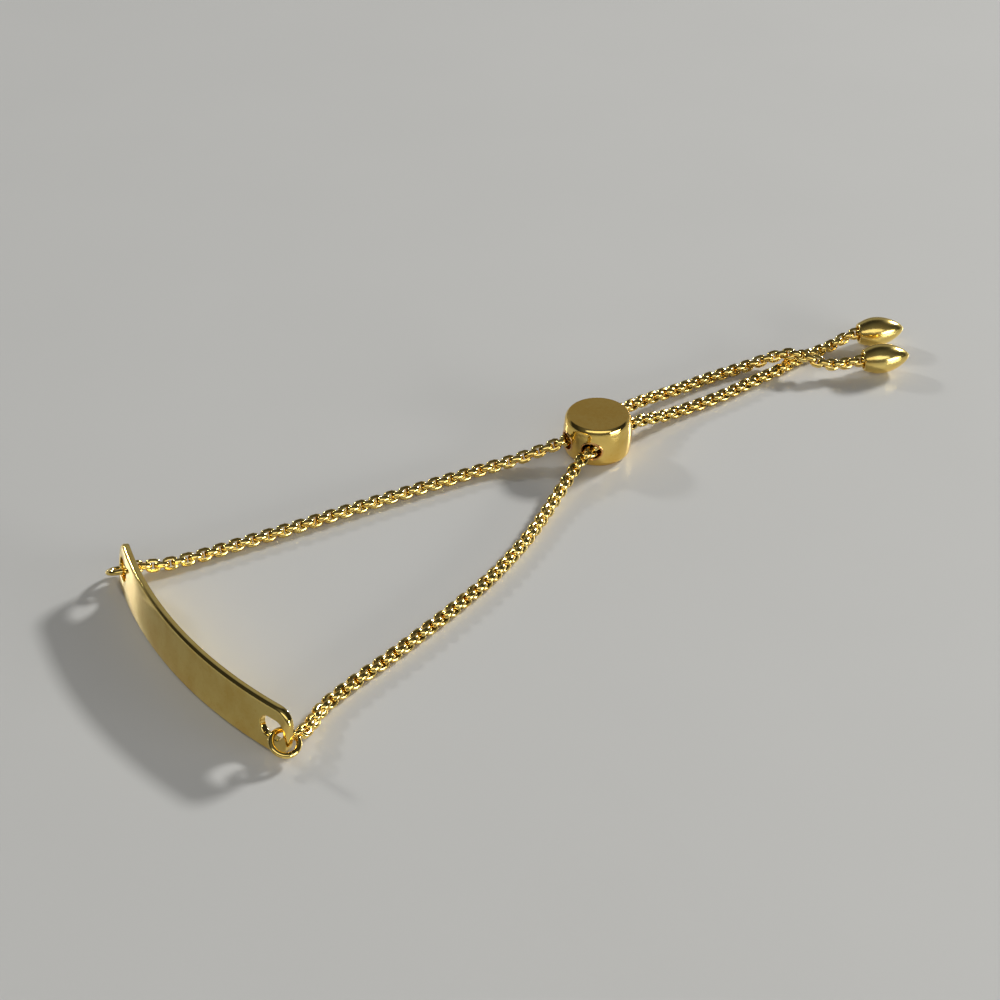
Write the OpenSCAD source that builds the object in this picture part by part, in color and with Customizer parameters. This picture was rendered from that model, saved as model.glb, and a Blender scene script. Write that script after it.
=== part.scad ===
// Adjustable chain bracelet: a curved bar, two jump rings, two round box chains, a slider bead
// with two bores, and a drop-shaped end bead on each chain. It lies on a flat surface.
// Millimetres, +Z up, +X from the bar towards the end beads.

/* [Bar] */
// Length of the bar along its curve
bar_length = 35.5; // [35:0.1:37]
// Height of the bar across its face
bar_width = 5.1; // [4.8:0.1:5.4]
// Thickness of the bar
bar_thick = 0.8; // [0.7:0.05:0.9]
// Radius that the bar is bent to, at its lower edge
bar_radius = 58.4; // [57:0.1:60]
// Lean of the bar's upper edge towards the slider bead, in degrees
bar_lean = 9; // [6:1:14]
// Radius of the bar's four corners, seen from the front
bar_corner = 1.7; // [1:0.1:2]
// Radius of the long edge at the top of its outer face
bar_top_edge = 0.35; // [0.2:0.05:0.4]
// Radius of its other long edges
bar_fine_edge = 0.12; // [0.1:0.02:0.2]
// Length of the oval hole near each end of the bar
hole_length = 3; // [2.8:0.1:3.2]
// Width of the oval hole
hole_width = 2.1; // [2:0.1:2.4]
// Metal left between the hole and the end of the bar
hole_edge = 0.7; // [0.65:0.05:0.9]

/* [Jump rings] */
// Outer diameter of a jump ring
ring_diameter = 3.3; // [3.2:0.1:3.4]
// Wire diameter of a jump ring
ring_wire = 0.6; // [0.55:0.01:0.65]

/* [Chains] */
// Length of one link along the chain
link_length = 1.62; // [1.58:0.01:1.64]
// Length of each chain's first link, which also holds the jump ring
first_link = 1.82; // [1.78:0.01:1.86]
// Width of one link across the chain
link_width = 1.48; // [1.4:0.01:1.5]
// Thickness of a link's end bars
link_wire = 0.24; // [0.2:0.01:0.25]
// Depth of a link's strip, square to its opening
link_strip = 0.3; // [0.24:0.02:0.32]
// Distance from one link to the next
link_pitch = 0.93; // [0.92:0.01:0.96]
// Turn of the far chain's even links about the chain, in degrees
roll_far = 45; // [0:5:90]
// Turn of the near chain's even links about the chain, in degrees
roll_near = -45; // [-90:5:0]

/* [Slider bead] */
// Diameter of the slider bead
slider_diameter = 8; // [7.6:0.1:8.4]
// Height of the slider bead
slider_height = 5; // [4.8:0.05:5.2]
// Radius of its upper edge
slider_top_edge = 0.5; // [0.3:0.05:0.6]
// Radius of its lower edge
slider_base_edge = 0.8; // [0.6:0.1:1]
// Diameter of the two bores that the chains run through
bore_diameter = 2.2; // [2.1:0.05:2.3]
// Distance between the two bores
bore_spacing = 3.5; // [3.3:0.1:3.6]
// Height of the bores above the surface
bore_height = 2.3; // [2.2:0.05:2.5]
// Turn of the slider bead about the vertical, in degrees
slider_turn = 14; // [12:1:16]

/* [End beads] */
// Length of an end bead
drop_length = 5.9; // [5.7:0.1:6.2]
// Largest diameter of an end bead
drop_diameter = 3.7; // [3.4:0.1:3.8]
// Diameter of the socket that holds the last link
socket_diameter = 1.95; // [1.9:0.05:2]
// Depth of that socket
socket_depth = 1.5; // [1.4:0.1:1.6]

/* [Hidden] */
$fn = 64;
gold = "gold";

// The middle of the whole object's base
base_middle = [50.93, 0.43, 0];

// The bar: its lower edge lies on an upright cylinder, and its face leans inwards as a cone.
// Its place is the middle of its chord, on the surface.
bar_place = [0.92, 0.48, 0];
half_turn = bar_length / 2 / bar_radius * 180 / PI;
bar_axis_x = bar_radius * cos(half_turn);
hole_turn = (bar_length / 2 - hole_edge - hole_length / 2) / bar_radius * 180 / PI;
rim_turn = (bar_length / 2 - hole_edge / 2) / bar_radius * 180 / PI;
// The lift that sets the leaning bar's lower inner edge on the surface
bar_lift = (bar_thick / 2 - bar_fine_edge) * sin(bar_lean) + bar_fine_edge * (1 - cos(bar_lean));
// The middle of its face, half-way through its thickness
face_radius = bar_radius - bar_width / 2 * sin(bar_lean);
face_height = bar_lift + bar_width / 2 * cos(bar_lean);

// The jump rings hang in the bar's rims: their axes, and their shift from the rim's middle
// out of the face, back towards the hole and down the face
ring_radius = (ring_diameter - ring_wire) / 2;
ring_axis_far = [0.14, 0.45, 0.88];
ring_axis_near = [0.04, -0.47, 0.88];
ring_shift_far = [0.15, 0.2, 1.25];
ring_shift_near = [0.15, 0.15, 0.85];
// Where on its ring each chain starts, in degrees from +X, and the turn of its first link there
ring_exit_far = -8;
ring_exit_near = 10;
roll_at_ring_far = 63;
roll_at_ring_near = -62;
// Length over which the chain twists from its first link's turn to its own
twist_length = 9;
// Space round the jump ring's wire in a first link, and past the last link in its socket
play = 0.12;

// The slider bead stands on the surface
slider_place = [57.26, 7.64, 0];
// Half of the length over which a chain runs straight in its bore
bore_reach = 2.4;

// The chains' routes from ring to slider bead, chosen by hand on the surface
far_span = [[3.25, 17.1, 1], [4.35, 16.7, 0.85], [5.95, 16.15, 0.76], [9.55, 15.45, 0.72],
            [14.95, 14.75, 0.72], [20.8, 14, 0.72], [29.3, 13.05, 0.72], [36.15, 12.2, 0.72],
            [43.1, 11.25, 0.75], [46.6, 10.55, 0.9], [49.6, 9.65, 1.45], [52.2, 8.85, 2.08]];
near_span = [[3.35, -15.95, 1.55], [4.75, -15, 1.2], [6.6, -13.6, 0.88], [8.5, -12.75, 0.74],
             [12.05, -11.7, 0.7], [16.3, -10.7, 0.7], [20.75, -9.5, 0.7], [25.65, -8.1, 0.7],
             [32.3, -5.9, 0.7], [38.75, -2.95, 0.7], [43.6, -0.2, 0.74], [47.35, 2.05, 0.98],
             [50.45, 3.75, 1.48], [52.7, 4.75, 2]];
// The tails' routes from slider bead to end bead: the far one climbs over the near one
far_tail = [[62, 10.15, 2.22], [64.9, 10.55, 1.95], [67.6, 10.9, 1.6], [70.1, 11.1, 1.25],
            [73, 11.25, 0.95], [77.1, 11.3, 0.75], [81.9, 10.85, 0.74], [84.3, 10.4, 0.95],
            [86, 9.75, 1.38], [87.15, 8.8, 1.93], [88, 7.65, 2.3], [88.65, 6.5, 2.35],
            [89.25, 5.4, 2.15], [90, 4.45, 1.85], [91.1, 3.65, 1.62], [92.6, 3.15, 1.5]];
near_tail = [[62.4, 7.1, 2.18], [64.85, 7.25, 1.7], [67.15, 7.35, 1.2], [70.05, 7.5, 0.82],
             [73.3, 7.4, 0.7], [77.3, 7.35, 0.7], [81.4, 7.6, 0.7], [85.25, 7.7, 0.7],
             [87.55, 8, 0.7], [89.25, 8.2, 0.7], [90.7, 8.3, 0.7], [92.3, 8.3, 0.7],
             [93.8, 8.2, 0.74], [95.3, 8.1, 0.9], [96.7, 8, 1.2]];

// The end beads lie on their shoulders: the middle of each blunt end, its heading and its rise
drop_far = [94.65, 2.1, 1.72];
drop_near = [98.85, 7.25, 1.72];
heading_far = -29;
heading_near = -29;
drop_rise = 4;
// Share of the bead's length from its blunt end to its widest place
shoulder = 0.36;
// Radius of the flat round the socket's mouth, as a share of the largest radius
blunt_share = 0.68;
// Steps of a rounded edge's arc
profile_steps = 12;

// Steps of a smooth route between two of its points
samples = 12;

function unit(v) = v / norm(v);

// A point on the smooth curve between p1 and p2, for t from 0 to 1
function curve_point(p0, p1, p2, p3, t) =
    0.5 * (2 * p1 + (p2 - p0) * t + (2 * p0 - 5 * p1 + 4 * p2 - p3) * t * t
           + (3 * p1 - p0 - 3 * p2 + p3) * t * t * t);

// The smooth curve through all of a route's points
function smooth(route) = let (last = len(route) - 1) concat(
    [for (i = [0:last - 1]) for (k = [0:samples - 1])
        curve_point(route[max(i - 1, 0)], route[i], route[i + 1], route[min(i + 2, last)], k / samples)],
    [route[last]]);

// The distance along a curve at each of its points
function distances(path) =
    [for (i = 0, d = 0; i < len(path); d = d + (i + 1 < len(path) ? norm(path[i + 1] - path[i]) : 0),
          i = i + 1) d];

// The point at distance d along a curve
function place_at(path, marks, d) =
    [for (axis = [0:2]) lookup(d, [for (i = [0:len(path) - 1]) [marks[i], path[i][axis]]])];

// The middle of a jump ring on the far (1) or near (-1) side of the bar
function ring_middle(side, shift) =
    let (inward = [cos(rim_turn), -side * sin(rim_turn), 0],
         along = [sin(rim_turn), side * cos(rim_turn), 0],
         up_face = sin(bar_lean) * inward + [0, 0, cos(bar_lean)],
         out = [0, 0, sin(bar_lean)] - cos(bar_lean) * inward,
         rim = [bar_axis_x, 0, face_height] - face_radius * inward)
    bar_place + rim + shift[0] * out - shift[1] * along - shift[2] * up_face;

// A point on a jump ring's wire, at an angle from +X in the ring's own plane
function ring_point(middle, axis, angle) =
    let (along = unit(cross([0, 1, 0], axis)), across = unit(cross(axis, along)))
    middle + ring_radius * (cos(angle) * along + sin(angle) * across);

// A point in a bore: how far along it from the bead's middle, and which side
function bore_point(along, side) =
    slider_place + [along * cos(slider_turn) - side * bore_spacing / 2 * sin(slider_turn),
                    along * sin(slider_turn) + side * bore_spacing / 2 * cos(slider_turn),
                    bore_height];

// The direction that an end bead points in
function drop_axis(heading) =
    [cos(drop_rise) * cos(heading), cos(drop_rise) * sin(heading), sin(drop_rise)];

ring_far_middle = ring_middle(1, ring_shift_far);
ring_near_middle = ring_middle(-1, ring_shift_near);

// Where a chain ends: straight ahead of the bead's mouth, then in its socket
function chain_end(drop, heading) =
    [for (reach = [-0.8, socket_depth - link_length / 2 - play]) drop + reach * drop_axis(heading)];

route_far = concat(
    [ring_point(ring_far_middle, ring_axis_far, ring_exit_far)], far_span,
    [for (along = [-bore_reach, 0, bore_reach]) bore_point(along, 1)], far_tail,
    chain_end(drop_far, heading_far));
route_near = concat(
    [ring_point(ring_near_middle, ring_axis_near, ring_exit_near)], near_span,
    [for (along = [-bore_reach, 0, bore_reach]) bore_point(along, -1)], near_tail,
    chain_end(drop_near, heading_near));

// Points on an arc about c, from one angle to another
function arc(c, r, from, to) =
    [for (i = [0:profile_steps]) let (a = from + (to - from) * i / profile_steps)
        c + r * [cos(a), sin(a)]];

// The bar's leaning cross-section: X out of its face, Y up it
module bar_section() {
    side = bar_thick / 2;
    fine = bar_fine_edge;
    translate([bar_radius, bar_lift])
        rotate(bar_lean)
            polygon(concat(
                arc([side - fine, fine], fine, -90, 0),
                arc([side - bar_top_edge, bar_width - bar_top_edge], bar_top_edge, 0, 90),
                arc([fine - side, bar_width - fine], fine, 90, 180),
                arc([fine - side, fine], fine, 180, 270)));
}

// The bar's outline from the front, laid in the YZ plane and pushed through along X
module bar_outline() {
    half_chord = bar_radius * sin(half_turn);
    top = bar_lift + bar_width;
    core = half_chord - bar_corner;
    translate([-bar_radius / 4, 0, 0])
        rotate([90, 0, 90])
            linear_extrude(height = bar_radius / 2) {
                translate([-half_chord, bar_corner])
                    square([2 * half_chord, top - 2 * bar_corner]);
                translate([-core, -0.1])
                    square([2 * core, top + 0.2]);
                for (y = [-core, core], z = [bar_corner, bar_width * cos(bar_lean) - bar_corner])
                    translate([y, z])
                        circle(r = bar_corner);
            }
}

// One oval hole, square to the bar's face
module bar_hole(side) {
    straight = hole_length - hole_width;
    translate([bar_axis_x, 0, face_height])
        rotate([0, 0, 180 - side * hole_turn])
            translate([face_radius, 0, 0])
                rotate([0, -bar_lean, 0])
                    rotate([0, 90, 0]) {
                        for (y = [-straight / 2, straight / 2])
                            translate([0, y, 0])
                                cylinder(d = hole_width, h = 4 * bar_thick, center = true);
                        cube([hole_width, straight, 4 * bar_thick], center = true);
                    }
}

module bar() {
    color(gold)
        translate(bar_place - base_middle)
            difference() {
                intersection() {
                    translate([bar_axis_x, 0, 0])
                        rotate([0, 0, 180 - half_turn])
                            rotate_extrude(angle = 2 * half_turn, $fn = 180)
                                bar_section();
                    bar_outline();
                }
                bar_hole(1);
                bar_hole(-1);
            }
}

// A round wire ring about its middle, square to its axis
module jump_ring(middle, axis) {
    tilt = acos(axis[2] / norm(axis));
    heading = atan2(axis[1], axis[0]);
    color(gold)
        translate(middle - base_middle)
            rotate([0, tilt, heading])
                rotate_extrude($fn = 48)
                    translate([ring_radius, 0])
                        circle(d = ring_wire, $fn = 24);
}

module ring_far() {
    jump_ring(ring_far_middle, ring_axis_far);
}

module ring_near() {
    jump_ring(ring_near_middle, ring_axis_near);
}

// One link: a round strip ring with flattened sides, its length along X
module link(length) {
    width = link_width + length - link_length;
    intersection() {
        difference() {
            cylinder(d = length, h = link_strip, center = true, $fn = 32);
            cylinder(d = length - 2 * link_wire, h = 1, center = true, $fn = 32);
        }
        cube([2, width, 1], center = true);
    }
}

// Links along a route, each turned a quarter from the one before
module chain(route, roll_at_ring, roll_run) {
    path = smooth(route);
    marks = distances(path);
    // The first link hangs on the jump ring's wire, and the second one's end lies beside the wire
    first = first_link / 2 - link_wire - ring_wire / 2 - play;
    second = ring_wire / 2 + play + link_length / 2;
    total = marks[len(marks) - 1];
    count = round((total - second) / link_pitch) + 2;
    pitch = (total - second) / (count - 2);
    color(gold)
        translate(-base_middle)
            for (i = [0:count - 1]) {
                d = i == 0 ? first : second + (i - 1) * pitch;
                roll = roll_at_ring + (roll_run - roll_at_ring) * min(d / twist_length, 1);
                step = place_at(path, marks, d + pitch / 2) - place_at(path, marks, d - pitch / 2);
                translate(place_at(path, marks, d))
                    rotate([roll + 90 * (i % 2), -asin(step[2] / norm(step)), atan2(step[1], step[0])])
                        link(i == 0 ? first_link : link_length);
            }
}

module chain_far() {
    chain(route_far, roll_at_ring_far, roll_far);
}

module chain_near() {
    chain(route_near, roll_at_ring_near, roll_near);
}

// The slider bead: a flat-topped round bead with softly rounded edges and two bores
module slider_bead() {
    radius = slider_diameter / 2;
    color(gold)
        translate(slider_place - base_middle)
            rotate([0, 0, slider_turn])
                difference() {
                    rotate_extrude($fn = 96)
                        polygon(concat(
                            [[0, 0]],
                            arc([radius - slider_base_edge, slider_base_edge], slider_base_edge, -90, 0),
                            arc([radius - slider_top_edge, slider_height - slider_top_edge],
                                slider_top_edge, 0, 90),
                            [[0, slider_height]]));
                    for (side = [-1, 1])
                        translate([0, side * bore_spacing / 2, bore_height])
                            rotate([0, 90, 0])
                                cylinder(d = bore_diameter, h = 2 * slider_diameter, center = true);
                }
}

// The end bead's radius at a share of its length: a rounded shoulder, then a tapering drop
function drop_radius(share) =
    drop_diameter / 2 * (share < shoulder
        ? blunt_share + (1 - blunt_share) * sin(90 * share / shoulder)
        : pow(cos(90 * (share - shoulder) / (1 - shoulder)), 0.65));

// An end bead: a drop turned about its axis, with a blind socket in its blunt end
module end_bead(place, heading) {
    steps = 2 * profile_steps;
    color(gold)
        translate(place - base_middle)
            rotate([0, 90 - drop_rise, heading])
                difference() {
                    rotate_extrude($fn = 48)
                        polygon(concat(
                            [[0, 0]],
                            [for (i = [0:steps - 1]) [drop_radius(i / steps), drop_length * i / steps]],
                            [[0, drop_length]]));
                    translate([0, 0, -1])
                        cylinder(d = socket_diameter, h = 1 + socket_depth);
                }
}

module end_bead_far() {
    end_bead(drop_far, heading_far);
}

module end_bead_near() {
    end_bead(drop_near, heading_near);
}

bar();
ring_far();
ring_near();
chain_far();
chain_near();
slider_bead();
end_bead_far();
end_bead_near();
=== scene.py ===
"""Chain bracelet: curved bar, jump rings, round box chains, slider bead and drop-shaped end beads.

Laid out as an add-on: sizes and finishes in property groups, one operator for each piece or group
of like pieces, and a panel in the 3D view's sidebar. Run as a script, main() makes everything in
order.
"""
import math
from contextlib import contextmanager

import bmesh
import bpy
import numpy as np
from mathutils import Matrix, Vector


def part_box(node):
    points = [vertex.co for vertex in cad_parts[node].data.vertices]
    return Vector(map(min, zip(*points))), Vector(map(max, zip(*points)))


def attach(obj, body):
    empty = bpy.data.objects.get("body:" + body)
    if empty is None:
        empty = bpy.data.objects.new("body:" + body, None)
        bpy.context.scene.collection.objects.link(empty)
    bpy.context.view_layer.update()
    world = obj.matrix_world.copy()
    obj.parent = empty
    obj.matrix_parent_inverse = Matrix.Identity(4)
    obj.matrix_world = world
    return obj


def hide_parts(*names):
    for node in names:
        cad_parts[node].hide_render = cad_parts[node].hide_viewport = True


bl_info = {
    "name": "Chain bracelet",
    "version": (1, 0, 0),
    "blender": (4, 5, 0),
    "location": "3D View > Sidebar > Bracelet",
    "description": "Makes a gold bracelet of a curved bar, box chains, a slider bead and end beads",
    "category": "Add Mesh",
}

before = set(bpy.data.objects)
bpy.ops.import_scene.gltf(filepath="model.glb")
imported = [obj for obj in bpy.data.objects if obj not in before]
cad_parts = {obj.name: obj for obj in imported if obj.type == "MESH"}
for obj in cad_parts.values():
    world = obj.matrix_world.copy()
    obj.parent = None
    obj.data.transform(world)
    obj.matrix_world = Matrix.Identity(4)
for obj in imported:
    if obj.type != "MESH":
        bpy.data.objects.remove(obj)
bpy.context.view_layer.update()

MM = 0.001

# Radius of the small face that closes each end of a turned piece
POLE = 0.02 * MM
# How far an end bead's tip stays back from the end of its solid
TIP_ROOM = 0.025 * MM
# Corners round a jump ring
RING_CORNERS = 96
# Corners round a bore and the lip at its mouth
BORE_CORNERS = 72

# Name, azimuth and elevation in degrees, distance, width and height in metres, and power in watts
LIGHTS = (
    ("window_light", 6.0, 26.0, 1.2, 0.26, 0.1, 12.0),
    ("far_light", 103.0, 27.0, 1.0, 0.13, 0.1, 2.0),
    ("side_light", -68.0, 10.0, 0.5, 0.34, 0.09, 1.0),
    ("front_light", 234.0, 40.0, 0.6, 1.0, 0.28, 0.8),
)
# The room's brightness along an axis, from far beyond the bracelet (0) to behind the camera (1)
ROOM_STOPS = [(0.0, 0.02), (0.3, 0.27), (0.4, 0.22), (0.5, 0.02), (0.7, 0.03), (1.0, 0.15)]
# Height of that axis above the horizon, on the camera's side
ROOM_ELEVATION = math.radians(40)


# Settings


def size(name, description, default_mm):
    """A length property whose default is given in millimetres."""
    return bpy.props.FloatProperty(
        name=name, description=description, default=default_mm * MM, min=0.0,
        unit="LENGTH", subtype="DISTANCE", precision=5)


def turn_angle(name, description, default_degrees):
    """An angle property whose default is given in degrees."""
    return bpy.props.FloatProperty(
        name=name, description=description, default=math.radians(default_degrees),
        unit="ROTATION", subtype="ANGLE")


def colour(name, description, default):
    """A colour property."""
    return bpy.props.FloatVectorProperty(
        name=name, description=description, default=default, size=3, min=0.0, max=1.0,
        subtype="COLOR")


def share(name, description, default):
    """A number from 0 to 1."""
    return bpy.props.FloatProperty(
        name=name, description=description, default=default, min=0.0, max=1.0, subtype="FACTOR")


class BarSettings(bpy.types.PropertyGroup):
    """The curved bar."""
    length: size("Length", "Length along the curve", 35.5)
    width: size("Height", "Height across the face", 5.1)
    thick: size("Thickness", "Thickness of the metal", 0.8)
    radius: size("Bend radius", "Radius of the bend at the lower edge", 58.4)
    lean: turn_angle("Lean", "Lean of the upper edge towards the slider bead", 9.0)
    corner: size("Corner", "Radius of the four corners", 1.7)
    rim: size("Rim", "Rounding of the outer face at its top and ends", 0.35)
    fine_rim: size("Fine rim", "Rounding of the other long edges", 0.12)
    hole_length: size("Hole length", "Length of the oval holes", 3.0)
    hole_width: size("Hole width", "Width of the oval holes", 2.1)
    hole_edge: size("Hole edge", "Metal between a hole and the bar's end", 0.7)
    hole_rim: size("Hole rim", "Rounding of the holes' edges", 0.14)
    strips: bpy.props.IntProperty(
        name="Strips", description="Strips that the bend is divided into", default=108, min=12)


class RingSettings(bpy.types.PropertyGroup):
    """The jump rings."""
    diameter: size("Diameter", "Outer diameter", 3.296)
    wire: size("Wire", "Wire diameter", 0.6)
    seam: size("Seam", "Width of the closed seam", 0.05)


class ChainSettings(bpy.types.PropertyGroup):
    """The round box chains."""
    link_length: size("Link length", "Length of a link", 1.74)
    link_width: size("Link width", "Width of a link", 1.48)
    wire: size("Wire", "Thickness of the strip a link is bent from", 0.36)
    strip: size("Strip", "Depth of that strip", 0.66)
    first_link: size("First link", "Length of the link that holds the jump ring", 1.82)
    first_wire: size("First wire", "Thickness of that link's strip", 0.26)
    first_strip: size("First strip", "Depth of that link's strip", 0.416)
    edge: size("Edge", "Rounding of the strip's outer edges", 0.12)
    corner: size("Corner", "Radius of a link's rounded corners", 0.56)


class SliderSettings(bpy.types.PropertyGroup):
    """The slider bead."""
    diameter: size("Diameter", "Diameter of the bead", 8.0)
    height: size("Height", "Height of the bead", 5.0)
    disc: size("Disc", "Diameter of the flat top", 7.0)
    shoulder: size("Shoulder", "Height of the polished shoulder under the flat top", 0.9)
    base_edge: size("Base edge", "Radius of the rounded base", 0.8)
    bore: size("Bore", "Diameter of the two bores", 2.2)
    spacing: size("Spacing", "Distance between the bores", 3.5)
    bore_height: size("Bore height", "Height of the bores above the base", 2.3)
    lip: size("Lip", "Width of the rounded lip round each bore's mouth", 0.24)
    barrel: size("Barrel", "How much narrower the bead is above and below its middle", 0.12)
    turn: turn_angle("Turn", "Turn of the bead about the vertical", 14.0)


class DropSettings(bpy.types.PropertyGroup):
    """The end beads."""
    length: size("Length", "Length of an end bead", 5.9)
    diameter: size("Diameter", "Largest diameter", 3.7)
    socket: size("Socket", "Diameter of the socket in the blunt end", 1.95)
    socket_depth: size("Socket depth", "Depth of the socket", 1.5)
    shoulder: share("Shoulder", "Share of the length up to the widest place", 0.36)
    blunt: share("Blunt end", "Radius of the blunt end as a share of the largest radius", 0.68)
    fullness: share("Fullness", "How soon the bead narrows to its tip: fuller when lower", 0.65)


class GoldSettings(bpy.types.PropertyGroup):
    """The gold plating."""
    bright: colour("Bright gold", "Colour of clean polished plating", (1.0, 0.77, 0.25))
    deep: colour("Deep gold", "Colour where the plating is handled or thicker", (0.84, 0.52, 0.1))
    copper: colour(
        "Coppery gold", "Colour of the lips round the slider bead's bores", (0.86, 0.46, 0.19))
    polish: share("Polish", "Roughness of the polished faces", 0.045)
    satin: share("Satin", "Roughness of the slider bead's flat top", 0.17)


class StageSettings(bpy.types.PropertyGroup):
    """The floor, lights and camera."""
    floor: colour("Floor", "Colour of the floor", (0.7, 0.695, 0.665))
    azimuth: turn_angle("Azimuth", "Direction of the camera, from -Y towards +X", -35.814)
    elevation: turn_angle("Elevation", "Height of the camera above the horizon", 35.0)
    lens: bpy.props.FloatProperty(
        name="Lens", description="Focal length in millimetres on a 36 mm sensor", default=69.84)
    distance: size("Distance", "From the camera to the point on the floor that it looks at", 218.45)
    aim: bpy.props.FloatVectorProperty(
        name="Aim", description="The point on the floor that the camera looks at",
        default=(-8.85 * MM, 5.55 * MM, 0.0), size=3, unit="LENGTH", subtype="XYZ")


# Ways of working


def deselect():
    """Leaves nothing selected."""
    bpy.ops.object.select_all(action="DESELECT")


def take(*pieces):
    """Selects just these pieces, the last one active."""
    deselect()
    for piece in pieces:
        piece.select_set(True)
    bpy.context.view_layer.objects.active = pieces[-1]


@contextmanager
def editing(piece, select_by="FACE"):
    """Edit mode on one piece, with nothing selected."""
    take(piece)
    bpy.ops.object.mode_set(mode="EDIT")
    bpy.ops.mesh.select_mode(type=select_by)
    bpy.ops.mesh.select_all(action="DESELECT")
    yield
    bpy.ops.object.mode_set(mode="OBJECT")


def choose(kind, test):
    """In edit mode, selects the faces, edges or corners that pass a test."""
    mesh = bpy.context.edit_object.data
    form = bmesh.from_edit_mesh(mesh)
    for part in [part for part in getattr(form, kind) if test(part)]:
        part.select_set(True)
    bmesh.update_edit_mesh(mesh)


def settle(piece):
    """Puts the piece's place, turn and scale into its mesh."""
    take(piece)
    bpy.ops.object.transform_apply(location=True, rotation=True, scale=True)


def shaped(piece, kind, **settings):
    """Adds a modifier with these settings and applies it."""
    take(piece)
    bpy.ops.object.modifier_add(type=kind)
    modifier = piece.modifiers[-1]
    for name, value in settings.items():
        setattr(modifier, name, value)
    bpy.ops.object.modifier_apply(modifier=modifier.name)


def cut(piece, cutter):
    """Takes the cutter's shape out of the piece."""
    shaped(piece, "BOOLEAN", operation="DIFFERENCE", solver="EXACT", object=cutter)
    bpy.data.objects.remove(cutter)


def joined(name, pieces):
    """Joins pieces into one."""
    take(*pieces)
    if len(pieces) > 1:
        bpy.ops.object.join()
    piece = bpy.context.object
    piece.name = name
    return piece


def twin(piece, matrix):
    """A copy of the piece with a mesh of its own, moved by the matrix."""
    other = piece.copy()
    other.data = piece.data.copy()
    bpy.context.scene.collection.objects.link(other)
    other.matrix_world = matrix @ piece.matrix_world
    return other


def turned(name, profile, sides):
    """A turned solid: a circle extruded and resized along (radius, height) steps, ends closed."""
    deselect()
    radius, height = profile[0]
    bpy.ops.mesh.primitive_circle_add(
        vertices=sides, radius=radius, fill_type="NGON", location=(0, 0, height))
    piece = bpy.context.object
    settle(piece)
    with editing(piece):
        bpy.ops.mesh.select_all(action="SELECT")
        for next_radius, next_height in profile[1:]:
            bpy.ops.mesh.extrude_region_move(
                TRANSFORM_OT_translate={"value": (0, 0, next_height - height)})
            scale = next_radius / radius
            bpy.ops.transform.resize(
                value=(scale, scale, 1), center_override=(0, 0, next_height))
            radius, height = next_radius, next_height
        bpy.ops.mesh.select_all(action="SELECT")
        bpy.ops.mesh.normals_make_consistent(inside=False)
    piece.name = name
    return piece


def arc(middle, radius, start, end, steps):
    """(radius, height) points along an arc, its angles in degrees."""
    angles = [math.radians(start + (end - start) * i / steps) for i in range(steps + 1)]
    return [(middle[0] + radius * math.cos(a), middle[1] + radius * math.sin(a)) for a in angles]


def finish_piece(piece, name, nodes, material, sharp=50):
    """Smooths, names, paints and declares a finished piece."""
    settle(piece)
    bpy.ops.object.shade_smooth_by_angle(angle=math.radians(sharp))
    piece.name = name
    piece.data.name = name
    piece.data.materials.clear()
    piece.data.materials.append(material)
    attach(piece, "root")
    if nodes:
        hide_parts(*nodes)


# Where the solid model's pieces lie


def loose_solids(node):
    """A merged copy of a node, split into its loose solids."""
    copy = twin(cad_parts[node], Matrix.Identity(4))
    copy.parent = None
    with editing(copy):
        bpy.ops.mesh.select_all(action="SELECT")
        bpy.ops.mesh.remove_doubles(threshold=0.0005 * MM)
        bpy.ops.mesh.separate(type="LOOSE")
    return list(bpy.context.selected_objects)


def lie_of(solid):
    """(middle, axes) of a solid: its middle, and its axes from the shortest to the longest."""
    mesh = solid.data
    mesh.calc_loop_triangles()
    corners = np.array([v.co[:] for v in mesh.vertices])
    triangles = corners[np.array([t.vertices[:] for t in mesh.loop_triangles])]
    middles = triangles.mean(axis=1)
    areas = np.linalg.norm(np.cross(triangles[:, 1] - triangles[:, 0],
                                    triangles[:, 2] - triangles[:, 0]), axis=1)
    middle = (middles * areas[:, None]).sum(axis=0) / areas.sum()
    spread = middles - middle
    values, axes = np.linalg.eigh((spread * areas[:, None]).T @ spread)
    return Vector(middle), [Vector(axes[:, i]) for i in range(3)]


def lies_of(node):
    """The lie of each loose solid of a node."""
    solids = loose_solids(node)
    lies = [lie_of(solid) for solid in solids]
    for solid in solids:
        bpy.data.objects.remove(solid)
    return lies


def frame_on(middle, along, across):
    """The matrix that puts X along, Z as near as it can be to across, and the origin at middle."""
    x = along.normalized()
    y = across.cross(x).normalized()
    z = x.cross(y)
    return Matrix.Translation(middle) @ Matrix((x, y, z)).transposed().to_4x4()


# Materials


def set_stops(ramp, stops):
    """Gives a colour ramp these (place, grey) stops."""
    while len(ramp.elements) < len(stops):
        ramp.elements.new(1.0)
    for element, (place, grey) in zip(ramp.elements, stops):
        element.position = place
        element.color = (grey, grey, grey, 1.0)


class Number:
    """A shader socket's number. Adding to it or multiplying it makes a Math node."""

    def __init__(self, sheet, socket):
        self.sheet = sheet
        self.socket = socket

    def _math(self, operation, first, second):
        node = self.sheet.node("ShaderNodeMath", {"operation": operation}, {0: first, 1: second})
        return Number(self.sheet, node.outputs[0])

    def __add__(self, other):
        return self._math("ADD", self, other)

    def __mul__(self, other):
        return self._math("MULTIPLY", self, other)


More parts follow.
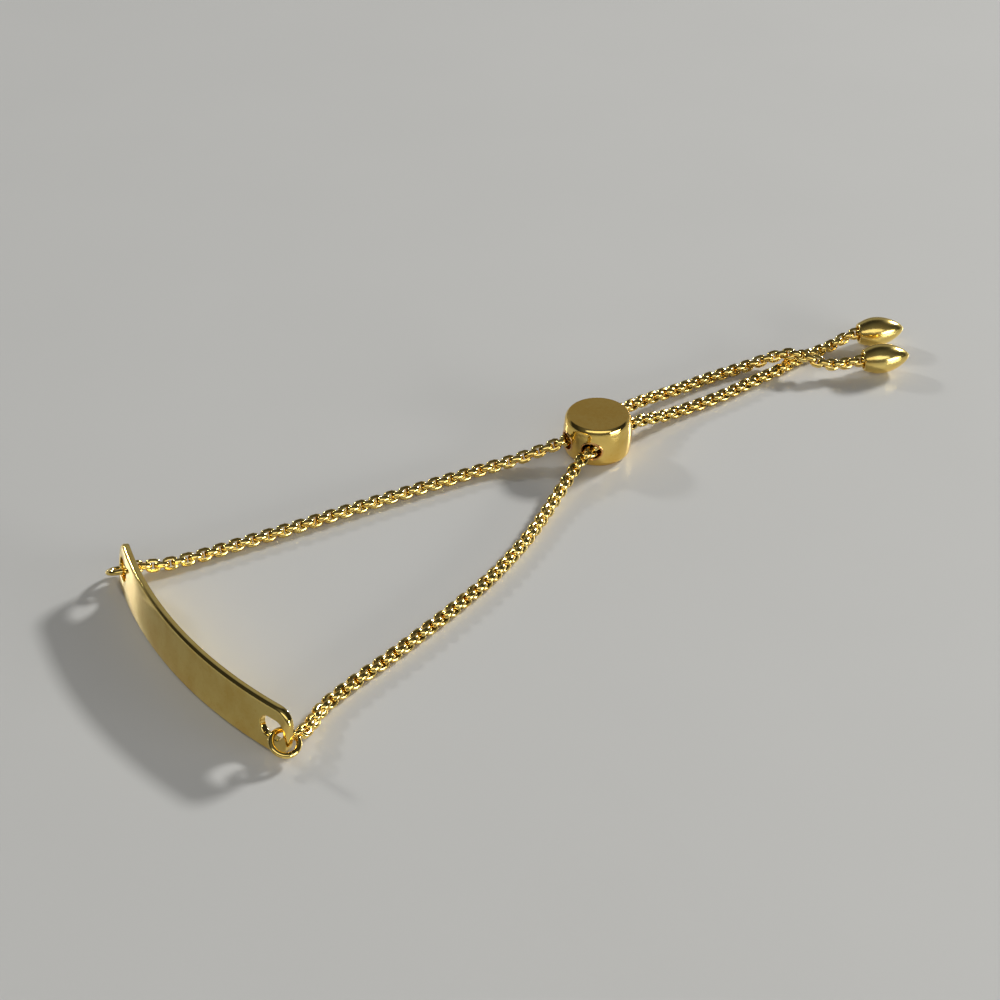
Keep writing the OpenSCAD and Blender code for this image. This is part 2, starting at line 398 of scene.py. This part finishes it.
class Sheet:
    """A material being made, with its Principled shader."""

    def __init__(self, name):
        self.material = bpy.data.materials.new(name)
        self.material.use_nodes = True
        self.tree = self.material.node_tree
        self.shader = self.tree.nodes["Principled BSDF"]

    def node(self, kind, settings=None, inputs=None):
        """A node of this kind: its settings first, then the values or links of its sockets."""
        made = self.tree.nodes.new(kind)
        for name, value in (settings or {}).items():
            if name == "stops":
                set_stops(made.color_ramp, value)
            else:
                setattr(made, name, value)
        for name, value in (inputs or {}).items():
            self.feed(made.inputs[name], value)
        return made

    def feed(self, target, value):
        """Links a socket to another, or sets its value."""
        if isinstance(value, Number):
            value = value.socket
        if isinstance(value, bpy.types.NodeSocket):
            self.tree.links.new(value, target)
        elif hasattr(target.default_value, "__len__") and len(target.default_value) == 4:
            target.default_value = (*value, 1.0)
        else:
            target.default_value = value

    def place(self, scale=(1, 1, 1), turn=(0, 0, 0)):
        """Object coordinates, scaled and turned."""
        coordinates = self.node("ShaderNodeTexCoord")
        mapping = self.node("ShaderNodeMapping", {"vector_type": "POINT"}, {
            "Vector": coordinates.outputs["Object"], "Rotation": turn, "Scale": scale})
        return mapping.outputs[0]

    def noise(self, feature_mm, detail=2.0, stretch=(1, 1, 1), turn=(0, 0, 0)):
        """Noise whose features are about this many millimetres across."""
        node = self.node("ShaderNodeTexNoise", {"normalize": True}, {
            "Vector": self.place(stretch, turn),
            "Scale": 1.0 / (feature_mm * MM),
            "Detail": detail})
        return Number(self, node.outputs["Fac"])

    def ramp(self, value, stops):
        """A number passed through a ramp of (place, grey) stops."""
        node = self.node("ShaderNodeValToRGB", {"stops": stops}, {"Fac": value})
        return Number(self, node.outputs[0])

    def mix(self, factor, first, second):
        """A mix of two colours."""
        node = self.node("ShaderNodeMix", {"data_type": "RGBA"}, {0: factor, 6: first, 7: second})
        return node.outputs[2]

    def bump(self, height, distance_mm, strength=1.0, under=None):
        """A bump of this height, laid over another one if there is one."""
        inputs = {"Height": height, "Distance": distance_mm * MM, "Strength": strength}
        if under is not None:
            inputs["Normal"] = under
        return self.node("ShaderNodeBump", None, inputs).outputs[0]

    def finish(self, **sockets):
        """Sets the shader's sockets, their names with underscores, and returns the material."""
        for name, value in sockets.items():
            self.feed(self.shader.inputs[name.replace("_", " ")], value)
        return self.material


def polished_gold(name, gold, grain_turn=0.0, ripple_mm=0.004, wear=0.3, softness=0.0, depth=0.0):
    """Polished plating: soft ripples from hand polishing, hair scratches, smears and worn spots.

    Softness is added to its roughness; depth darkens its colour towards the deep gold as painted
    shade.
    """
    sheet = Sheet(name)
    smear = sheet.ramp(sheet.noise(2.6, 4.0), [(0.42, 0.0), (0.68, 1.0)])
    speck = sheet.ramp(sheet.noise(0.35, 3.0), [(0.55, 0.0), (0.75, 1.0)])
    hair_noise = sheet.noise(0.09, 2.0, stretch=(0.06, 1, 1), turn=(0, 0, grain_turn))
    hairs = sheet.ramp(hair_noise, [(0.5, 0.0), (0.72, 1.0)])
    ripples = sheet.noise(3.2, 1.0)
    # Smears and worn specks are the plating's own tone; depth adds painted shade, darker all over
    tone = smear * 0.5 + speck * wear + depth
    normal = sheet.bump(ripples, ripple_mm)
    normal = sheet.bump(hairs, 0.0012, under=normal)
    return sheet.finish(
        Base_Color=sheet.mix(tone, gold.bright, gold.deep),
        Metallic=1.0,
        Roughness=smear * 0.04 + hairs * 0.05 + speck * 0.03 + (gold.polish + softness),
        Normal=normal)


def chain_gold(name, gold):
    """Chain plating: bright stamped strips with a fine grain and darker handled patches."""
    sheet = Sheet(name)
    patch = sheet.ramp(sheet.noise(1.4, 3.0), [(0.4, 0.0), (0.66, 1.0)])
    grain = sheet.noise(0.12, 2.0)
    return sheet.finish(
        Base_Color=sheet.mix(patch * 0.7, gold.bright, gold.deep),
        Metallic=1.0,
        Roughness=patch * 0.08 + grain * 0.08 + gold.polish + 0.03,
        Normal=sheet.bump(grain, 0.004))


def satin_gold(name, gold, turn):
    """The slider bead's flat top: fine brushed lines, faint handling marks and dull spots."""
    sheet = Sheet(name)
    lines = sheet.noise(0.06, 2.0, stretch=(0.05, 1, 1), turn=(0, 0, turn))
    marks = sheet.ramp(sheet.noise(0.5, 3.0), [(0.4, 0.0), (0.8, 1.0)])
    dull = sheet.ramp(sheet.noise(3.2, 2.0), [(0.3, 0.0), (0.75, 1.0)])
    return sheet.finish(
        Base_Color=sheet.mix(marks * 0.25 + dull * 0.25 + 0.75, gold.bright, gold.deep),
        Metallic=1.0,
        Roughness=lines * 0.1 + dull * 0.04 + gold.satin,
        Normal=sheet.bump(lines, 0.002))


def coppery_gold(name, gold):
    """The lips round the bores: warmer plating, a little worn."""
    sheet = Sheet(name)
    wear = sheet.ramp(sheet.noise(0.4, 3.0), [(0.4, 0.0), (0.7, 1.0)])
    return sheet.finish(
        Base_Color=sheet.mix(wear * 0.5, gold.copper, gold.bright),
        Metallic=1.0,
        Roughness=wear * 0.1 + gold.polish + 0.04,
        Normal=sheet.bump(wear, 0.003))


def floor_paint(name, tint):
    """A plain pale floor, very slightly mottled."""
    sheet = Sheet(name)
    mottle = sheet.noise(30.0, 2.0)
    darker = tuple(channel * 0.96 for channel in tint)
    return sheet.finish(
        Base_Color=sheet.mix(mottle, tint, darker),
        Roughness=0.25,
        Normal=sheet.bump(sheet.noise(0.8, 3.0), 0.002))


# Operators


class BRACELET_OT_stage(bpy.types.Operator):
    """Makes the floor, the soft lights and the camera"""
    bl_idname = "bracelet.stage"
    bl_label = "Stage"

    def execute(self, context):
        stage = context.scene.bracelet_stage
        self.floor(stage)
        self.lights(stage)
        self.camera(context, stage)
        context.scene.view_settings.view_transform = "Standard"
        return {"FINISHED"}

    def floor(self, stage):
        """A wide floor just under the bracelet."""
        deselect()
        bpy.ops.mesh.primitive_plane_add(size=3.0, location=(0, 0, -0.02 * MM))
        floor = bpy.context.object
        settle(floor)
        floor.name = "floor"
        floor.data.materials.append(floor_paint("floor_paint", stage.floor))

    def lights(self, stage):
        """The soft room and the oval lights, each turned to the bracelet."""
        self.room(stage)
        for name, azimuth, elevation, distance, width, height, power in LIGHTS:
            a, e = math.radians(azimuth), math.radians(elevation)
            towards = Vector((math.cos(a) * math.cos(e), math.sin(a) * math.cos(e), math.sin(e)))
            deselect()
            bpy.ops.object.light_add(type="AREA", location=towards * distance)
            light = bpy.context.object
            light.name = name
            light.rotation_mode = "QUATERNION"
            light.rotation_quaternion = towards.to_track_quat("Z", "Y")
            light.data.shape = "ELLIPSE"
            light.data.size = width
            light.data.size_y = height
            light.data.energy = power

    def room(self, stage):
        """Soft light from all round: a paler far wall, and some light from behind the camera."""
        world = bpy.data.worlds.new("soft_room")
        world.use_nodes = True
        nodes, links = world.node_tree.nodes, world.node_tree.links
        direction = nodes.new("ShaderNodeTexCoord")
        towards = nodes.new("ShaderNodeVectorMath")
        towards.operation = "DOT_PRODUCT"
        towards.inputs[1].default_value = self.backwards(stage.azimuth, ROOM_ELEVATION)
        remap = nodes.new("ShaderNodeMapRange")
        remap.inputs["From Min"].default_value = -1.0
        ramp = nodes.new("ShaderNodeValToRGB")
        set_stops(ramp.color_ramp, ROOM_STOPS)
        links.new(direction.outputs["Generated"], towards.inputs[0])
        links.new(towards.outputs["Value"], remap.inputs["Value"])
        links.new(remap.outputs[0], ramp.inputs["Fac"])
        links.new(ramp.outputs[0], nodes["Background"].inputs["Color"])
        bpy.context.scene.world = world

    def backwards(self, azimuth, elevation):
        """The direction from the bracelet towards a camera at these angles."""
        return Vector((math.sin(azimuth) * math.cos(elevation),
                       -math.cos(azimuth) * math.cos(elevation), math.sin(elevation)))

    def camera(self, context, stage):
        """The camera, looking at the aim from its azimuth and elevation."""
        back = self.backwards(stage.azimuth, stage.elevation)
        deselect()
        bpy.ops.object.camera_add(location=Vector(stage.aim) + back * stage.distance)
        camera = bpy.context.object
        camera.name = "camera"
        camera.rotation_mode = "QUATERNION"
        camera.rotation_quaternion = back.to_track_quat("Z", "Y")
        camera.data.sensor_width = 36.0
        camera.data.lens = stage.lens
        camera.data.clip_start = 0.01
        context.scene.camera = camera


class BRACELET_OT_bar(bpy.types.Operator):
    """Makes the curved, leaning bar with its two oval holes"""
    bl_idname = "bracelet.bar"
    bl_label = "Bar"

    def execute(self, context):
        bar = context.scene.bracelet_bar
        plate = self.plate(bar)
        for side in (-1, 1):
            self.hole(plate, bar, side)
        self.strips(plate, bar)
        self.bend(plate, bar)
        lowest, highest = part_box("bar")
        corners = np.array([v.co[:] for v in plate.data.vertices])
        middle = (corners.min(axis=0) + corners.max(axis=0)) / 2
        plate.location = (lowest + highest) / 2 - Vector(middle)
        material = polished_gold("bar_polish", context.scene.bracelet_gold, math.radians(90))
        finish_piece(plate, "bar_polished", ["bar"], material)
        shaped(plate, "WEIGHTED_NORMAL", weight=60, keep_sharp=True)
        return {"FINISHED"}

    def plate(self, bar):
        """The flat plate along X, its face along Y, with round corners and rims."""
        deselect()
        bpy.ops.mesh.primitive_cube_add(size=1, scale=(bar.length, bar.thick, bar.width))
        plate = bpy.context.object
        settle(plate)
        with editing(plate, "EDGE"):
            choose("edges", lambda e: abs(e.verts[0].co.y - e.verts[1].co.y) > bar.thick / 2)
            bpy.ops.mesh.bevel(offset=bar.corner, segments=12, affect="EDGES")
        self.weigh_rims(plate, bar)
        shaped(plate, "BEVEL", width=bar.rim, segments=6, limit_method="WEIGHT",
               use_clamp_overlap=False)
        return plate

    def weigh_rims(self, plate, bar):
        """Bevel weights: full round the outer face's top and ends, fine on the other long edges."""
        weights = plate.data.attributes.new("bevel_weight_edge", "FLOAT", "EDGE")
        fine = bar.fine_rim / bar.rim
        for edge in plate.data.edges:
            start, end = (plate.data.vertices[i].co for i in edge.vertices)
            if abs(start.y - end.y) > bar.thick / 2:
                continue
            height = ((start.z + end.z) / 2 + bar.width / 2) / bar.corner
            fullness = min(max(height, 0.0), 1.0) if start.y < 0 else 0.0
            weights.data[edge.index].value = fine + (1 - fine) * fullness

    def hole(self, plate, bar, side):
        """One oval hole with a rounded rim."""
        middle = side * (bar.length / 2 - bar.hole_edge - bar.hole_length / 2)
        reach = (bar.hole_length - bar.hole_width) / 2
        deselect()
        bpy.ops.mesh.primitive_cylinder_add(
            vertices=48, radius=bar.hole_width / 2, depth=3 * bar.thick,
            rotation=(math.pi / 2, 0, 0))
        cutter = bpy.context.object
        settle(cutter)
        for half in (-1, 1):
            with editing(cutter, "VERT"):
                choose("verts", lambda v: v.co.x * half > 0.001 * MM)
                bpy.ops.transform.translate(value=(half * reach, 0, 0))
        cutter.location = (middle, 0, 0)
        settle(cutter)
        cut(plate, cutter)

        def on_rim(edge):
            spot = (edge.verts[0].co + edge.verts[1].co) / 2
            beside = max(abs(spot.x - middle) - reach, 0)
            off = math.hypot(beside, spot.z) - bar.hole_width / 2
            return abs(off) < 0.02 * MM and abs(abs(spot.y) - bar.thick / 2) < 0.001 * MM

        with editing(plate, "EDGE"):
            choose("edges", on_rim)
            bpy.ops.mesh.bevel(offset=bar.hole_rim, segments=4, affect="EDGES")

    def strips(self, plate, bar):
        """Cuts across the plate, so that it bends smoothly."""
        with editing(plate):
            for i in range(1, bar.strips):
                bpy.ops.mesh.select_all(action="SELECT")
                x = (i / bar.strips - 0.5) * bar.length
                bpy.ops.mesh.bisect(plane_co=(x, 0, 0), plane_no=(1, 0, 0))
            for z in (-0.25 * bar.width, 0.0, 0.25 * bar.width):
                bpy.ops.mesh.select_all(action="SELECT")
                bpy.ops.mesh.bisect(plane_co=(0, 0, z), plane_no=(0, 0, 1))

    def bend(self, plate, bar):
        """Leans the plate about its lower edge and bends it about the vertical."""
        plate.location = (0, 0, bar.width / 2)
        settle(plate)
        plate.rotation_euler = (-bar.lean, 0, 0)
        settle(plate)
        shaped(plate, "SIMPLE_DEFORM", deform_method="BEND", deform_axis="Z",
               angle=bar.length / bar.radius)
        plate.rotation_euler = (0, 0, -math.pi / 2)
        settle(plate)


class BRACELET_OT_jump_rings(bpy.types.Operator):
    """Makes the two jump rings, each with a closed seam"""
    bl_idname = "bracelet.jump_rings"
    bl_label = "Jump rings"

    def execute(self, context):
        rings = context.scene.bracelet_rings
        material = polished_gold(
            "ring_polish", context.scene.bracelet_gold, ripple_mm=0.002, wear=0.4)
        radius = (rings.diameter - rings.wire) / 2
        for node, seam_at in (("ring_far", 200.0), ("ring_near", 330.0)):
            middle, axes = lies_of(node)[0]
            deselect()
            bpy.ops.mesh.primitive_torus_add(
                major_segments=RING_CORNERS, minor_segments=28,
                major_radius=radius, minor_radius=rings.wire / 2)
            ring = bpy.context.object
            self.seam(ring, radius, math.radians(seam_at), rings)
            ring.matrix_world = frame_on(middle, axes[1], axes[0])
            finish_piece(ring, node + "_wire", [node], material)
        return {"FINISHED"}

    def seam(self, ring, radius, angle, rings):
        """A fine groove where the ring's ends meet."""
        step = math.radians(360 / RING_CORNERS)
        nearest = round(angle / step) * step
        on_seam = Vector((radius * math.cos(nearest), radius * math.sin(nearest), 0))
        tangent = Vector((-math.sin(nearest), math.cos(nearest), 0))

        def in_seam(edge):
            spots = [v.co - on_seam for v in edge.verts]
            return all(abs(s.dot(tangent)) < 0.002 * MM and s.length < rings.wire for s in spots)

        with editing(ring, "EDGE"):
            choose("edges", in_seam)
            bpy.ops.mesh.bevel(offset=rings.seam / 2, segments=2, affect="EDGES")
        with editing(ring, "EDGE"):
            choose("edges", in_seam)
            bpy.ops.transform.resize(value=(0.94, 0.94, 0.94), center_override=on_seam)


class BRACELET_OT_chains(bpy.types.Operator):
    """Makes both round box chains, link by link, where the solid model's links lie"""
    bl_idname = "bracelet.chains"
    bl_label = "Chains"

    def execute(self, context):
        chain = context.scene.bracelet_chain
        material = chain_gold("chain_plating", context.scene.bracelet_gold)
        for node, ring in (("chain_far", "ring_far"), ("chain_near", "ring_near")):
            lies = self.in_order(lies_of(node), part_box(ring))
            first = self.link(chain, chain.first_link, chain.first_wire, chain.first_strip)
            link = self.link(chain, chain.link_length, chain.wire, chain.strip)
            links = []
            for i, (middle, axes) in enumerate(lies):
                before, after = lies[max(i - 1, 0)][0], lies[min(i + 1, len(lies) - 1)][0]
                place = frame_on(middle, after - before, axes[0])
                links.append(twin(link if i else first, place))
            for pattern in (first, link):
                bpy.data.objects.remove(pattern)
            finish_piece(joined(node, links), node + "_links", [node], material, 55)
        return {"FINISHED"}

    def in_order(self, lies, ring_box):
        """The links from the jump ring on, each the nearest to the one before."""
        here = (ring_box[0] + ring_box[1]) / 2
        left, ordered = list(lies), []
        while left:
            nearest = min(left, key=lambda lie: (lie[0] - here).length)
            left.remove(nearest)
            ordered.append(nearest)
            here = nearest[0]
        return ordered

    def link(self, chain, length, wire, strip):
        """One link along X, open along Z: a strip bent to a rounded square with rounded edges."""
        edge = min(chain.edge, wire / 2.5)
        deselect()
        bpy.ops.mesh.primitive_cube_add(size=1, scale=(length, chain.link_width, strip))
        link = bpy.context.object
        settle(link)
        with editing(link, "EDGE"):
            choose("edges", lambda e: abs(e.verts[0].co.z - e.verts[1].co.z) > strip / 2)
            bpy.ops.mesh.bevel(offset=chain.corner, segments=2, affect="EDGES")
        with editing(link, "EDGE"):
            choose("edges", lambda e: abs(e.verts[0].co.z - e.verts[1].co.z) < strip / 2)
            bpy.ops.mesh.bevel(offset=edge, segments=1, affect="EDGES")
        with editing(link):
            choose("faces", lambda f: abs(f.normal.z) > 0.99)
            bpy.ops.mesh.inset(thickness=wire - edge)
        with editing(link):
            choose("faces", lambda f: abs(f.normal.z) > 0.99 and len(f.verts) > 4)
            bpy.ops.mesh.bridge_edge_loops()
        with editing(link):
            bpy.ops.mesh.select_all(action="SELECT")
            bpy.ops.mesh.normals_make_consistent(inside=False)
        return link


class BRACELET_OT_slider_bead(bpy.types.Operator):
    """Makes the slider bead with its satin top, its two bores and their lips"""
    bl_idname = "bracelet.slider_bead"
    bl_label = "Slider bead"

    def execute(self, context):
        slider = context.scene.bracelet_slider
        gold = context.scene.bracelet_gold
        lowest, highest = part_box("slider_bead")
        stand = Matrix.Translation(((lowest.x + highest.x) / 2, (lowest.y + highest.y) / 2, 0))
        place = stand @ Matrix.Rotation(slider.turn, 4, "Z")
        bead = turned("bead", self.profile(slider), 160)
        for side in (-1, 1):
            deselect()
            bpy.ops.mesh.primitive_cylinder_add(
                vertices=BORE_CORNERS, radius=slider.bore / 2, depth=2 * slider.diameter,
                location=(0, side * slider.spacing / 2, slider.bore_height),
                rotation=(0, math.pi / 2, 0))
            cut(bead, bpy.context.object)
        bead.matrix_world = place
        # The slider bead's body is painted darker all over, towards the deep gold, as painted shade
        polish = polished_gold("bead_polish", gold, slider.turn, depth=0.4)
        finish_piece(bead, "slider_bead_body", ["slider_bead"], polish, 35)
        bead.data.materials.append(satin_gold("bead_satin", gold, slider.turn))
        for face in bead.data.polygons:
            if face.normal.z > 0.999 and face.center.z > slider.height - 0.01 * MM:
                face.material_index = 1
        lip = self.lip(slider)
        lips = [twin(lip, place @ Matrix.Diagonal((end, side, 1, 1)))
                for end in (-1, 1) for side in (-1, 1)]
        bpy.data.objects.remove(lip)
        lips = joined("lips", lips)
        with editing(lips):
            bpy.ops.mesh.select_all(action="SELECT")
            bpy.ops.mesh.normals_make_consistent(inside=False)
        finish_piece(lips, "bore_lips", [], coppery_gold("bore_lip", gold))
        return {"FINISHED"}

    def profile(self, slider):
        """(radius, height) points from the base's middle up to the top's."""
        radius, top, disc = slider.diameter / 2, slider.height, slider.disc / 2
        narrow = radius - slider.barrel
        edge = slider.base_edge
        base = arc((narrow - edge, edge), edge, -90, 0, 12)
        tall, steps = top - slider.shoulder - edge, 10
        side = [(radius - slider.barrel * (2 * step / steps - 1) ** 2, edge + step * tall / steps)
                for step in range(1, steps)]
        # The shoulder runs along an ellipse, from the upright wall at 90 degrees to the disc at 30
        at_disc = math.radians(30)
        first = math.sin(at_disc)
        shoulder = []
        for degrees in range(90, 29, -6):
            a = math.radians(degrees)
            shoulder.append((disc + (narrow - disc) * (math.sin(a) - first) / (1 - first),
                             top - slider.shoulder * (1 - math.cos(a) / math.cos(at_disc))))
        return [(POLE, 0.0)] + base + side + shoulder + [(POLE, top)]

    def lip(self, slider):
        """A rounded ring round a mouth, each of its sections moved out to the bead's wall."""
        radius, beside = slider.bore / 2, slider.spacing / 2
        sunk = slider.lip / 5
        step = 2 * math.pi / BORE_CORNERS
        deselect()
        bpy.ops.mesh.primitive_torus_add(
            major_segments=BORE_CORNERS, minor_segments=14,
            major_radius=radius, minor_radius=slider.lip / 2,
            location=(0, beside, slider.bore_height), rotation=(0, math.pi / 2, 0))
        lip = bpy.context.object
        settle(lip)

        def in_section(vertex):
            spot = Vector((vertex.co.y - beside, vertex.co.z - slider.bore_height))
            return across.angle(spot) < step / 2

        for i in range(BORE_CORNERS):
            across = Vector((math.cos(i * step), math.sin(i * step)))
            wall = math.sqrt((slider.diameter / 2) ** 2 - (beside + radius * across.x) ** 2)
            with editing(lip, "VERT"):
                choose("verts", in_section)
                bpy.ops.transform.translate(value=(wall - sunk, 0, 0))
        return lip


class BRACELET_OT_end_beads(bpy.types.Operator):
    """Makes the two drop-shaped end beads"""
    bl_idname = "bracelet.end_beads"
    bl_label = "End beads"

    def execute(self, context):
        drop = context.scene.bracelet_drop
        material = polished_gold(
            "drop_polish", context.scene.bracelet_gold, ripple_mm=0.003, softness=0.12)
        for node in ("end_bead_far", "end_bead_near"):
            middle, axes = lies_of(node)[0]
            towards_tip = axes[2] if axes[2].x > 0 else -axes[2]
            solid = np.array([v.co[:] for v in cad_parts[node].data.vertices])
            along = (solid - np.array(middle)) @ np.array(towards_tip)
            bead = turned("drop", self.profile(drop), 72)
            blunt_end = middle + towards_tip * min(along)
            level = Vector((0, 0, 1)).cross(towards_tip)
            place = frame_on(blunt_end, level, towards_tip)
            shorter = (max(along) - min(along) - TIP_ROOM) / drop.length
            bead.matrix_world = place @ Matrix.Scale(shorter, 4, (0, 0, 1))
            finish_piece(bead, node + "_drop", [node], material, 45)
        return {"FINISHED"}

    def profile(self, drop):
        """(radius, height) points: the socket, its mouth, the shoulder and the taper to the tip."""
        radius, soft = drop.diameter / 2, 0.09 * MM
        socket = [(POLE, drop.socket_depth), (drop.socket / 2, drop.socket_depth),
                  (drop.socket / 2, soft), (drop.socket / 2 + 0.4 * soft, 0.2 * soft),
                  (drop.socket / 2 + 1.2 * soft, 0.0)]
        swell, swell_steps = [], 14
        for i in range(1, swell_steps + 1):
            a = math.radians(90 * i / swell_steps)
            swell.append((radius * (drop.blunt + (1 - drop.blunt) * math.sin(a)),
                          drop.shoulder * drop.length * i / swell_steps))
        taper, taper_steps = [], 27
        for i in range(1, taper_steps):
            a = math.radians(90 * i / taper_steps)
            taper.append((radius * math.cos(a) ** drop.fullness,
                          drop.length * (drop.shoulder + (1 - drop.shoulder) * i / taper_steps)))
        # A tiny flat closes the tip
        tip = [(0.03 * MM, drop.length - 0.01 * MM)]
        blunt_edge = [(radius * drop.blunt - soft, 0.0), (radius * drop.blunt, 0.5 * soft)]
        return socket + blunt_edge + swell + taper + tip


class BRACELET_PT_panel(bpy.types.Panel):
    """Lists the bracelet's settings and pieces"""
    bl_idname = "BRACELET_PT_panel"
    bl_label = "Chain bracelet"
    bl_space_type = "VIEW_3D"
    bl_region_type = "UI"
    bl_category = "Bracelet"

    def draw(self, context):
        for name, title, group, operators in SECTIONS:
            box = self.layout.box()
            box.label(text=title)
            settings = getattr(context.scene, name)
            for setting in group.__annotations__:
                box.prop(settings, setting)
            for operator in operators:
                box.operator(operator.bl_idname)


SECTIONS = (
    ("bracelet_gold", "Gold", GoldSettings, ()),
    ("bracelet_stage", "Stage", StageSettings, (BRACELET_OT_stage,)),
    ("bracelet_bar", "Bar", BarSettings, (BRACELET_OT_bar,)),
    ("bracelet_rings", "Jump rings", RingSettings, (BRACELET_OT_jump_rings,)),
    ("bracelet_chain", "Chains", ChainSettings, (BRACELET_OT_chains,)),
    ("bracelet_slider", "Slider bead", SliderSettings, (BRACELET_OT_slider_bead,)),
    ("bracelet_drop", "End beads", DropSettings, (BRACELET_OT_end_beads,)),
)


def register():
    for name, title, group, operators in SECTIONS:
        bpy.utils.register_class(group)
        setattr(bpy.types.Scene, name, bpy.props.PointerProperty(type=group))
        for operator in operators:
            bpy.utils.register_class(operator)
    bpy.utils.register_class(BRACELET_PT_panel)


def unregister():
    bpy.utils.unregister_class(BRACELET_PT_panel)
    for name, title, group, operators in reversed(SECTIONS):
        for operator in operators:
            bpy.utils.unregister_class(operator)
        delattr(bpy.types.Scene, name)
        bpy.utils.unregister_class(group)


def main():
    """Makes every piece and the stage."""
    register()
    bpy.ops.bracelet.stage()
    bpy.ops.bracelet.bar()
    bpy.ops.bracelet.jump_rings()
    bpy.ops.bracelet.chains()
    bpy.ops.bracelet.slider_bead()
    bpy.ops.bracelet.end_beads()


if __name__ == "__main__":
    main()
